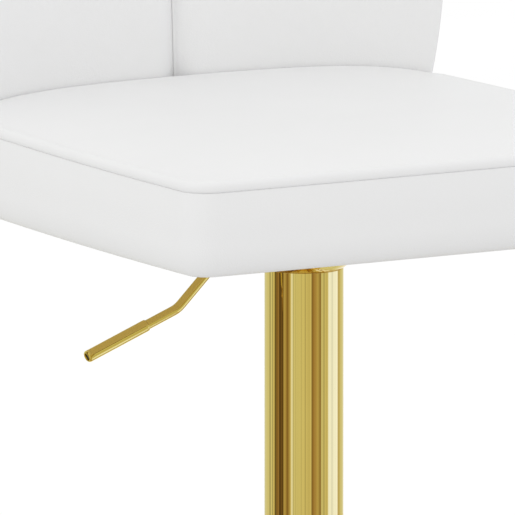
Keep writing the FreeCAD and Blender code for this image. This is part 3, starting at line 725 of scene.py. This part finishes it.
def make_back_pad(side, name, node):
    """One half of the backrest's front: a folded outer edge, and a deep soft shoulder into the groove."""
    outline = pad_outline()
    edge = [
        (5.5, 0.0), (4.4, 0.05), (3.4, 0.15), (2.5, 0.3), (1.7, 0.45), (1.0, 0.75), (0.5, 1.2), (0.15, 1.9),
        (0.0, 3.0), (0.0, 5.0), (0.2, 7.0), (0.6, 7.9), (1.2, 8.5), (0.6, 9.1), (0.2, 10.0), (0.0, 12.0),
        (0.0, 21.5), (0.6, 23.0), (2.2, 23.7), (4.6, 23.8),
    ]
    groove = [
        (4.5, 0.0), (3.6, 0.0), (2.8, 0.0), (2.1, 0.0), (1.5, 0.0), (1.0, 0.0), (0.5, 0.0), (0.1, 0.0),
        (-0.3, 0.0), (-0.8, 0.2), (-1.1, 0.7), (-1.3, 1.6), (-1.4, 3.0), (-1.4, 5.0), (-1.4, 8.0),
        (-1.4, 12.0), (-1.4, 20.0), (-0.6, 22.5), (1.0, 23.6), (3.0, 23.8),
    ]
    normals = outward_normals(outline)
    share = smooth_step(-normals[:, 0], 0.3, 0.95) * (outline[:, 0] < 0.05)
    rings = offset_rings(outline, edge, groove, share)
    centre = np.array([0.5 * (GROOVE_HALF + BACK_HALF_WIDE), 0.5 * (BACK_BOTTOM + BACK_TOP)])
    puff = 2.8 * MM
    shoulder_x = 20.0 * MM
    shoulder_y = 14.0 * MM
    thick = 23.8 * MM

    def swell(flat):
        """How far the pad stands forward of its plain curve."""
        half = np.array([back_side(z) for z in flat[:, 1]]) / 2
        across = np.clip(abs(flat[:, 0] - half) / half, 0, 1)
        middle_z = 0.5 * (BACK_BOTTOM + BACK_TOP)
        along = np.clip(abs(flat[:, 1] - middle_z) / (0.5 * (BACK_TOP - BACK_BOTTOM)), 0, 1)
        above_seat = smooth_step(flat[:, 1], SEAT_TOP - 0.006, SEAT_TOP + 0.060)
        return puff * (1 - across**4) * (1 - along**6) * above_seat

    def dip(flat):
        """How far the front falls back towards the groove."""
        steepest = 0.93
        near = np.clip((shoulder_x - (flat[:, 0] - 0.1 * MM)) / shoulder_x, 0, steepest)
        share = 0.5 + 0.5 * smooth_step(flat[:, 1], SEAT_TOP - 0.030, SEAT_TOP)
        return shoulder_y * share * (1 - np.sqrt(1 - near**2))

    def placed(flat, depth, front):
        """Places on the pad; front is how much of the swell they take."""
        depth = depth - swell(flat) * front
        depth = depth + dip(flat) * np.clip(1 - depth / thick, 0, 1)
        where = back_surface(flat, depth)
        where[:, 0] *= side
        return where

    skin = []
    first_flat, first_depth = rings[0]
    steps = (0.06, 0.16, 0.27, 0.38, 0.49, 0.59, 0.67, 0.74, 0.79,
             0.83, 0.86, 0.89, 0.915, 0.935, 0.955, 0.97, 0.985)
    for k in steps:
        depth = first_depth * float(smooth_step(k, 0.9, 1.0))
        skin.append(placed(centre + (first_flat - centre) * k, depth, 1.0))
    for i, (flat, depth) in enumerate(rings):
        skin.append(placed(flat, depth, float(np.clip(1 - i / 6, 0, 1))))
    last_flat, last_depth = rings[-1]
    for k in (0.96, 0.8, 0.55, 0.3, 0.1):
        skin.append(placed(centre + (last_flat - centre) * k, last_depth, 0.0))
    points, faces = loft(skin)
    if side > 0:
        faces = [f[::-1] for f in faces]
    upholster(name, points, faces, node)


def make_back_shell():
    """The rear of the backrest: side band, rolled rear edge and a lightly filled rear panel."""
    outline = rear_outline()
    profile = [
        (6.0, 24.1), (2.6, 24.2), (1.2, 24.5), (0.4, 25.3), (0.0, 26.6), (0.0, 34.0), (0.1, 36.4),
        (0.5, 37.4), (1.5, 38.1), (0.6, 38.8), (0.2, 39.8), (0.1, 41.4), (0.5, 43.2), (1.3, 44.6),
        (2.4, 45.3), (3.4, 45.2), (4.2, 44.9), (5.2, 45.0), (6.6, 45.4), (8.4, 45.7),
    ]
    rings = offset_rings(outline, profile)
    centre = np.array([0.0, 0.5 * (BACK_BOTTOM + BACK_TOP)])
    puff = 2.0 * MM

    def swell(flat):
        """How far the rear panel stands out behind its plain curve."""
        half = np.array([back_side(z) for z in flat[:, 1]])
        across = np.clip(abs(flat[:, 0]) / half, 0, 1)
        along = np.clip(abs(flat[:, 1] - centre[1]) / (0.5 * (BACK_TOP - BACK_BOTTOM)), 0, 1)
        return puff * (1 - across**4) * (1 - along**4)

    skin = []
    first_flat, first_depth = rings[0]
    for k in (0.1, 0.35, 0.6, 0.8, 0.95):
        skin.append(back_surface(centre + (first_flat - centre) * k, first_depth))
    for flat, depth in rings:
        skin.append(back_surface(flat, depth + swell(flat)))
    last_flat, last_depth = rings[-1]
    for k in (0.985, 0.96, 0.93, 0.89, 0.83, 0.76, 0.68, 0.59, 0.49, 0.38, 0.27, 0.16, 0.06):
        flat = centre + (last_flat - centre) * k
        skin.append(back_surface(flat, last_depth + swell(flat)))
    points, faces = loft(skin)
    faces = [f[::-1] for f in faces]
    upholster("back_shell", points, faces, "back_rear_cover")


# ---------- gold metalwork


def make_column():
    """The sleeve under the seat, the tube it slides on, and the flared collar at the seat plate."""
    wall = 1.5 * MM
    lip = 0.5 * MM
    rounding = 0.3 * lip
    straight = 20.0 * MM  # how far from its ends the sleeve's long plain run begins
    inner = SLEEVE_R - wall
    sleeve = lathe("sleeve", [
        (inner, SLEEVE_FOOT + lip), (inner + lip, SLEEVE_FOOT), (SLEEVE_R - lip, SLEEVE_FOOT),
        (SLEEVE_R, SLEEVE_FOOT + lip), (SLEEVE_R, SLEEVE_FOOT + straight), (SLEEVE_R, RIM_Z - straight),
        (SLEEVE_R, RIM_Z - lip), (SLEEVE_R - rounding, RIM_Z - rounding), (SLEEVE_R - lip, RIM_Z),
        (inner, RIM_Z),
    ], GOLD)
    place(sleeve, "seat_carriage", "gold_plated_steel", "column_sleeve")

    low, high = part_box("column_tube")
    tube_in = TUBE_R - 2 * MM
    tube = lathe("lower_tube", [
        (tube_in, low.z), (TUBE_R, low.z), (TUBE_R, high.z - lip), (TUBE_R - lip, high.z),
        (tube_in, high.z),
    ], GOLD)
    place(tube, "base", "gold_plated_steel", "column_tube")

    low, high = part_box("column_collar")
    skirt = [(SLEEVE_R - 0.1 * MM, RIM_Z + 0.1 * MM)]
    for k in np.linspace(0, 1, 16)[1:]:
        skirt.append((SLEEVE_R + (high.x - SLEEVE_R) * k**0.85, RIM_Z + (high.z - RIM_Z) * k))
    inside = [(r - 1.8 * MM, z) for r, z in skirt[::-1]]
    spigot_r = inner - 0.05 * MM
    bore_r = spigot_r - 1.2 * MM
    collar = lathe("flared_collar", skirt + inside + [
        (bore_r, RIM_Z), (bore_r, low.z), (spigot_r, low.z), (spigot_r, RIM_Z),
    ], GOLD)
    place(collar, "seat_carriage", "gold_plated_steel", "column_collar")


def make_base():
    """The trumpet: a rolled rim, a shallow cone and a flare up to the neck, spun from one sheet."""
    low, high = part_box("base_shell")
    base_r = high.x
    foot = low.z
    skin = 1.6 * MM
    slope = 8.8  # of the cone, in degrees
    flare = 55.0 * MM
    neck_r = 33.5 * MM
    roll = 3.2 * MM
    centre = (neck_r + flare, high.z)
    rim = arc_points((base_r - roll, foot + 3.4 * MM), roll, -30, 90 - slope, 12)
    outer = rim + arc_points(centre, flare, 270 - slope, 180, 40)
    inner = arc_points(centre, flare + skin, 180, 270 - slope, 24)
    lip_r = base_r - 2.4 * MM
    inner += [(base_r - 5.0 * MM, foot + 4.6 * MM), (lip_r, foot + 2.0 * MM), (lip_r, foot)]
    shell = lathe("trumpet_base", [(base_r - 0.6 * MM, foot)] + outer + inner, GOLD, 256)
    place(shell, "base", "gold_plated_steel", "base_shell")

    low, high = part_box("neck_ring")
    half = (high.z - low.z) / 2
    bore_r = TUBE_R + 0.02 * MM
    bead = arc_points((high.x - half, low.z + half), half, -90, 90, 17)
    ring = lathe("neck_ring_trim", [(bore_r, low.z)] + bead + [(bore_r, high.z)], GOLD)
    place(ring, "base", "gold_plated_steel", "neck_ring")


def make_footrest():
    """The footrest's bent loop, and the clamp that holds it to the sleeve."""
    low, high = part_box("footrest_bar")
    z = (low.z + high.z) / 2
    radius = (high.z - low.z) / 2
    half = [(0.022, -0.018), (0.150, -0.095), (0.128, -0.240)]  # corners on the right, from the clamp
    route = [(x, y, z) for x, y in half] + [(-x, y, z) for x, y in half[::-1]]
    bends = (0.050, 0.058, 0.058, 0.050)
    bar = round_bar("footrest_loop", bent_path(route, bends, 24, 10), radius, GOLD, 64)
    place(bar, "seat_carriage", "gold_plated_steel", "footrest_bar")

    low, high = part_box("footrest_collar")
    clamp_r = 35.0 * MM
    bore_r = SLEEVE_R + 0.02 * MM
    round_off = 2.0 * MM
    lower = arc_points((clamp_r - round_off, low.z + round_off), round_off, -90, 0, 8)
    upper = arc_points((clamp_r - round_off, high.z - round_off), round_off, 0, 90, 8)
    clamp = lathe("footrest_clamp", [(bore_r, low.z)] + lower + upper + [(bore_r, high.z)], GOLD)
    place(clamp, "seat_carriage", "gold_plated_steel", "footrest_collar")


def make_lever():
    """The bent lever rod, its hub, its grip sleeve and the dark plug in the sleeve's open end."""
    rod_r = 3.8 * MM
    grip_r = 4.65 * MM
    grip_length = 55.5 * MM
    rod_end = 13.0 * MM  # the rod stops this far inside the sleeve
    path = [(6.0, 24.0), (-62.0, 24.0), (-110.1, -22.8), (-185.0, -51.9)]
    route = [Vector((x * MM, 0, RIM_Z + z * MM)) for x, z in path]
    way = (route[-1] - route[-2]).normalized()
    tip = route[-1] + way * 3.8 * MM
    route[-1] = tip - way * rod_end
    rod = round_bar("lever_arm", bent_path(route, (0.018, 0.022), 18, 8), rod_r, DEEP_GOLD, 48, 0.8 * MM)
    place(rod, "lever", "gold_plated_steel", "lever_rod")

    low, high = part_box("lever_pivot_pin")
    half = 11.5 * MM
    axis = [(Vector(((low.x + high.x) / 2, y, (low.z + high.z) / 2)), Y_WAY) for y in (-half, 0, half)]
    hub = round_bar("lever_hub", axis, 6.0 * MM, DEEP_GOLD, 48, 0.6 * MM)
    place(hub, "lever", "gold_plated_steel")

    start = tip - way * grip_length
    side = way.cross(Y_WAY).normalized()
    profile = [  # radius, and millimetres along the sleeve
        (rod_r, 0.2), (rod_r + 0.2 * MM, 0.05), (grip_r - 0.5 * MM, 0.0), (grip_r - 0.12 * MM, 0.25),
        (grip_r, 0.7), (grip_r, 2.0), (grip_r, 50.0), (grip_r, 53.6), (grip_r - 0.2 * MM, 54.7),
        (grip_r - 0.7 * MM, 55.2), (grip_r - 1.2 * MM, 55.5), (3.2 * MM, 55.4), (3.0 * MM, 55.0),
        (2.9 * MM, 54.0), (2.9 * MM, 48.0),
    ]
    rings = [circle(start + way * (along * MM), side, Y_WAY, radius, 48) for radius, along in profile]
    points, faces = loft(rings)
    grip = make_object("lever_sleeve", points, faces, DEEP_GOLD)
    place(grip, "lever", "gold_plated_steel", "lever_grip")
    plug_ends = [(start + way * (along * MM), way) for along in (47.0, 50.0, 54.3)]
    plug = round_bar("lever_plug", plug_ends, 2.85 * MM, PLASTIC, 32, 0.5 * MM)
    place(plug, "lever", "black_plastic")


# ---------- underside


def make_dust_cover():
    """The pale cloth stapled under the seat board, drawn a little slack between its staples."""
    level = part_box("seat_dust_cover")[0].z + 0.35 * MM
    edge = SEAT_PLAN - SEAT_NORMALS * 20.0 * MM
    thick = 0.5 * MM
    ripples = 0.25 * MM * np.sin(np.arange(len(edge)) * 2 * math.pi / 9)
    upper, lower = [], []
    for k in (1.0, 0.985, 0.96, 0.92, 0.86, 0.78, 0.68, 0.56, 0.42, 0.27, 0.12):
        flat = SEAT_CENTRE + (edge - SEAT_CENTRE) * k
        ripple = ripples * smooth_step(k, 0.85, 1.0)
        sag = 0.6 * MM * (1 - k**2) * smooth_step(np.hypot(flat[:, 0], flat[:, 1]), 0.10, 0.17)
        z = level - sag + ripple
        lower.append(np.column_stack([flat, z]))
        upper.append(np.column_stack([flat, z + thick]))
    points, faces = loft(upper[::-1] + lower)
    cover = make_object("dust_cloth", points, faces, CLOTH)
    place(cover, "seat_carriage", "pale_cloth", "seat_dust_cover")
    width, depth = (float(np.ptp(edge[:, i])) for i in (0, 1))
    x, y = edge[:, 0], edge[:, 1]
    outline_area = 0.5 * abs(float(np.sum(x * np.roll(y, -1) - y * np.roll(x, -1))))


def make_staples():
    """Wire staples that hold the cloth to the seat board, one every 45 mm or so."""
    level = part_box("seat_dust_cover")[0].z + 0.1 * MM
    ring = SEAT_PLAN - SEAT_NORMALS * 27.0 * MM
    steps = np.linalg.norm(np.roll(ring, -1, 0) - ring, axis=1)
    along = np.concatenate([[0], np.cumsum(steps)[:-1]])
    total = float(steps.sum())
    half, wide, rise = 5.0 * MM, 0.6 * MM, 0.6 * MM
    # The crown of a staple and its turned ends, as (reach, lift): lift 1 is level with the cloth
    spine = [(-half, 0.9), (-half + 0.5 * MM, 0.1), (-half + 1.2 * MM, 0), (half - 1.2 * MM, 0),
             (half - 0.5 * MM, 0.1), (half, 0.9)]
    points, faces = [], []
    for start in np.arange(0, total, total / 36):
        i = int(np.searchsorted(along, start) % len(ring))
        way = ring[(i + 1) % len(ring)] - ring[i]
        way = way / np.linalg.norm(way)
        side = np.array([-way[1], way[0]])
        first = len(points)
        for reach, lift in spine:
            middle = ring[i] + way * reach
            for across, down in ((-1, 0), (-0.6, 1), (0.6, 1), (1, 0)):
                flat = middle + side * across * wide
                points.append((flat[0], flat[1], level - rise * down * (1 - 0.9 * lift) + lift * 0.3 * MM))
        last = len(points) - 4
        for a in range(first, last, 4):
            for k in range(4):
                m = (k + 1) % 4
                faces.append((a + k, a + m, a + 4 + m, a + 4 + k))
        faces.append((first + 3, first + 2, first + 1, first))
        faces.append((last, last + 1, last + 2, last + 3))
    staples = make_object("cover_staples", points, faces, BRIGHT)
    place(staples, "seat_carriage", "bright_steel")


# ---------- stage, light and camera

VIEW_AZIMUTH = math.radians(-29.9)
VIEW_ELEVATION = math.radians(9.4)
VIEW_DISTANCE = 12.0
VIEW_WIDTH = 0.3892  # width of the picture at the column
VIEW_OFFSET = (-0.0352, 0.007)  # of the picture's middle from the column's rim, right and up
SENSOR = 36.0


def view_axes():
    """Unit vectors back to the camera, and to the right and up in the picture."""
    a, e = VIEW_AZIMUTH, VIEW_ELEVATION
    back = Vector((math.sin(a) * math.cos(e), -math.cos(a) * math.cos(e), math.sin(e)))
    right = Vector((math.cos(a), math.sin(a), 0))
    return back, right, back.cross(right)


def make_camera():
    """A long lens from far away, so the view is nearly parallel."""
    back, right, up = view_axes()
    target = Vector((0, 0, RIM_Z)) + right * VIEW_OFFSET[0] + up * VIEW_OFFSET[1]
    data = bpy.data.cameras.new("camera")
    data.sensor_width = SENSOR
    data.lens = SENSOR * VIEW_DISTANCE / VIEW_WIDTH
    data.clip_start = 1.0
    data.clip_end = 100.0
    camera = bpy.data.objects.new("camera", data)
    camera.location = target + back * VIEW_DISTANCE
    camera.rotation_mode = "QUATERNION"
    camera.rotation_quaternion = (-back).to_track_quat("-Z", "Y")
    bpy.context.scene.collection.objects.link(camera)
    bpy.context.scene.camera = camera


# Upright panels round the studio, as seen in the polished metal: degrees round the column from the way to
# the camera, positive to the camera's right, and tone.
EDGE = (1.00, 1.02, 1.04)
WHITE = (1.10, 1.31, 2.07)
PALE = (1.00, 1.15, 1.53)
LIGHT = (0.72, 0.75, 0.53)
STRAW = (0.66, 0.64, 0.385)
TAN = (0.53, 0.46, 0.22)
TAWNY = (0.47, 0.375, 0.155)
BROWN = (0.41, 0.28, 0.115)
UMBER = (0.30, 0.21, 0.08)
SEPIA = (0.225, 0.14, 0.05)
DARK = (0.11, 0.07, 0.027)
PANELS = [
    (-180, EDGE), (-158, LIGHT), (-107, LIGHT), (-100, STRAW), (-94, TAN), (-89, UMBER), (-84, SEPIA),
    (-81, BROWN), (-77, DARK), (-72, DARK), (-68, SEPIA), (-63, UMBER), (-60, TAN), (-56, TAWNY),
    (-50, SEPIA), (-44, TAWNY), (-39, STRAW), (-36, PALE), (-32, LIGHT), (20, STRAW), (24, SEPIA),
    (28, BROWN), (43, TAN), (49, SEPIA), (52, LIGHT), (73, STRAW), (77, WHITE), (112, WHITE),
    (119, TAN), (134, LIGHT), (151, LIGHT), (164, EDGE),
]
# The dark gaps between some of the panels: where, how wide, and how much of the light is left.
GAPS = [
    (-118, 12, 0.54), (-105, 5, 0.44), (-92, 8, 0.08), (-66, 6, 0.22), (-31, 6, 0.76),
    (-24, 4, 0.80), (4, 4, 0.74), (14, 5, 0.84), (60, 9, 0.66), (90, 28, 0.80),
]


def make_world():
    """Even white light, and for polished metal a ring of upright light and dark panels."""
    world = bpy.data.worlds.new("studio")
    bpy.context.scene.world = world
    world.use_nodes = True
    nodes = world.node_tree.nodes
    links = world.node_tree.links
    nodes.clear()

    def node(kind, **settings):
        """A new node with the given properties."""
        made = nodes.new(kind)
        for key, value in settings.items():
            setattr(made, key, value)
        return made

    def ramp(factor, stops):
        """A colour that follows (position, colour) stops, given in order."""
        made = node("ShaderNodeValToRGB")
        elements = made.color_ramp.elements
        for i, (position, tone) in enumerate(stops):
            element = elements[i] if i < 2 else elements.new(position)
            element.position = position
            element.color = (*tone, 1)
        links.new(factor, made.inputs["Fac"])
        return made.outputs["Color"]

    def share(value, low, high):
        """How far a value has come from low to high, from 0 to 1."""
        made = node("ShaderNodeMapRange")
        made.inputs["From Min"].default_value = low
        made.inputs["From Max"].default_value = high
        links.new(value, made.inputs["Value"])
        return made.outputs["Result"]

    def mix(factor, first, second):
        """The first shader where the factor is 0, the second where it is 1."""
        made = node("ShaderNodeMixShader")
        for socket, output in zip(made.inputs, (factor, first, second)):
            links.new(output, socket)
        return made.outputs[0]

    # The way a ray leaves, as a turn round the column from the camera and as a height
    way = node("ShaderNodeTexCoord")
    rotate = node("ShaderNodeMapping", vector_type="NORMAL")
    rotate.inputs["Rotation"].default_value = (0, 0, -VIEW_AZIMUTH)
    parts = node("ShaderNodeSeparateXYZ")
    flip = node("ShaderNodeMath", operation="MULTIPLY")
    flip.inputs[1].default_value = -1.0
    turn = node("ShaderNodeMath", operation="ARCTAN2")
    links.new(way.outputs["Generated"], rotate.inputs["Vector"])
    links.new(rotate.outputs["Vector"], parts.inputs["Vector"])
    links.new(parts.outputs["Y"], flip.inputs[0])
    links.new(parts.outputs["X"], turn.inputs[0])
    links.new(flip.outputs["Value"], turn.inputs[1])
    round_share = share(turn.outputs["Value"], -math.pi, math.pi)
    height_share = share(parts.outputs["Z"], -1.0, 1.0)

    # What polished metal sees: the panels, with fine uprights in their brightness, and the gaps
    panels = ramp(round_share, [(degrees / 360 + 0.5, tone) for degrees, tone in PANELS])
    stops = [(0.0, 1)]
    for degrees, width, left in GAPS:
        for offset, level in ((-width / 2, 1), (0, left), (width / 2, 1)):
            stops.append(((degrees + offset) / 360 + 0.5, level))
    gaps = ramp(round_share, [(position, (level,) * 3) for position, level in stops])
    fine = node("ShaderNodeTexNoise", noise_dimensions="1D")
    fine.inputs["Scale"].default_value = 70.0
    fine.inputs["Detail"].default_value = 3.0
    links.new(round_share, fine.inputs["W"])
    level = node("ShaderNodeMath", operation="MULTIPLY")
    links.new(between(nodes, links, fine.outputs["Fac"], 0.90, 1.10), level.inputs[0])
    links.new(gaps, level.inputs[1])
    seen = node("ShaderNodeBackground")
    links.new(panels, seen.inputs["Color"])
    links.new(level.outputs["Value"], seen.inputs["Strength"])

    # What lights everything else, from below to above, and what the camera sees behind the stool
    tones = ((0.0, 0.66), (0.25, 0.90), (0.45, 1.03), (0.5, 0.97), (0.65, 0.90), (1.0, 1.02))
    sky = ramp(height_share, [(position, (tone,) * 3) for position, tone in tones])
    soft = node("ShaderNodeBackground")
    links.new(sky, soft.inputs["Color"])
    plain = node("ShaderNodeBackground")
    plain.inputs["Color"].default_value = (0.992, 0.992, 0.992, 1)

    path = node("ShaderNodeLightPath")
    lit = mix(path.outputs["Is Glossy Ray"], soft.outputs[0], seen.outputs[0])
    shown = mix(path.outputs["Is Camera Ray"], lit, plain.outputs[0])
    links.new(shown, node("ShaderNodeOutputWorld").inputs["Surface"])


def make_floor():
    """A plain pale floor with soft contact shade, which the polished metal doesn't mirror."""
    half = 9.0
    material, nodes, links, shader = new_material("pale_floor")
    vector = object_coordinates(nodes, links, (1, 1, 1))
    grain = noise(nodes, links, vector, 3.0)
    tone = between(nodes, links, grain, (0.80,) * 3, (0.82,) * 3)
    links.new(tone, shader.inputs["Base Color"])
    shader.inputs["Roughness"].default_value = 0.9
    shader.inputs["Emission Color"].default_value = (1.0, 1.0, 1.0, 1)
    shader.inputs["Emission Strength"].default_value = 0.22
    shader.inputs["Specular IOR Level"].default_value = 0.0
    level = -0.5 * MM
    corners = [(-half, -half, level), (half, -half, level), (half, half, level), (-half, half, level)]
    floor = make_object("floor", corners, [(0, 1, 2, 3)], material, smooth=False)
    floor.visible_glossy = False
    floor.visible_diffuse = False


def make_light(name, location, target, size, power):
    """A soft square light, in metres and watts, that shows neither itself nor its mirror image."""
    data = bpy.data.lights.new(name, "AREA")
    data.shape = "SQUARE"
    data.size = size
    data.energy = power
    light = bpy.data.objects.new(name, data)
    light.location = location
    light.rotation_mode = "QUATERNION"
    light.rotation_quaternion = (Vector(target) - Vector(location)).to_track_quat("-Z", "Y")
    light.visible_camera = False
    light.visible_glossy = False
    bpy.context.scene.collection.objects.link(light)


def make_stage():
    """The plain pale studio: its surroundings, floor and two soft lights."""
    bpy.context.scene.view_settings.view_transform = "Standard"
    make_world()
    make_floor()
    make_light("key", (-1.2, -1.8, 3.4), (0, 0, 0.6), 2.4, 9.0)
    make_light("side", (-3.2, 0.6, 0.5), (0, 0, 0.5), 1.6, 6.6)


finish_cad_nodes()
make_camera()
make_stage()
make_seat_boxing()
make_seat_panel()
make_back_pad(1, "back_cushion_right", "back_pad_right")
make_back_pad(-1, "back_cushion_left", "back_pad_left")
make_back_shell()
make_column()
make_base()
make_footrest()
make_lever()
make_dust_cover()
make_staples()
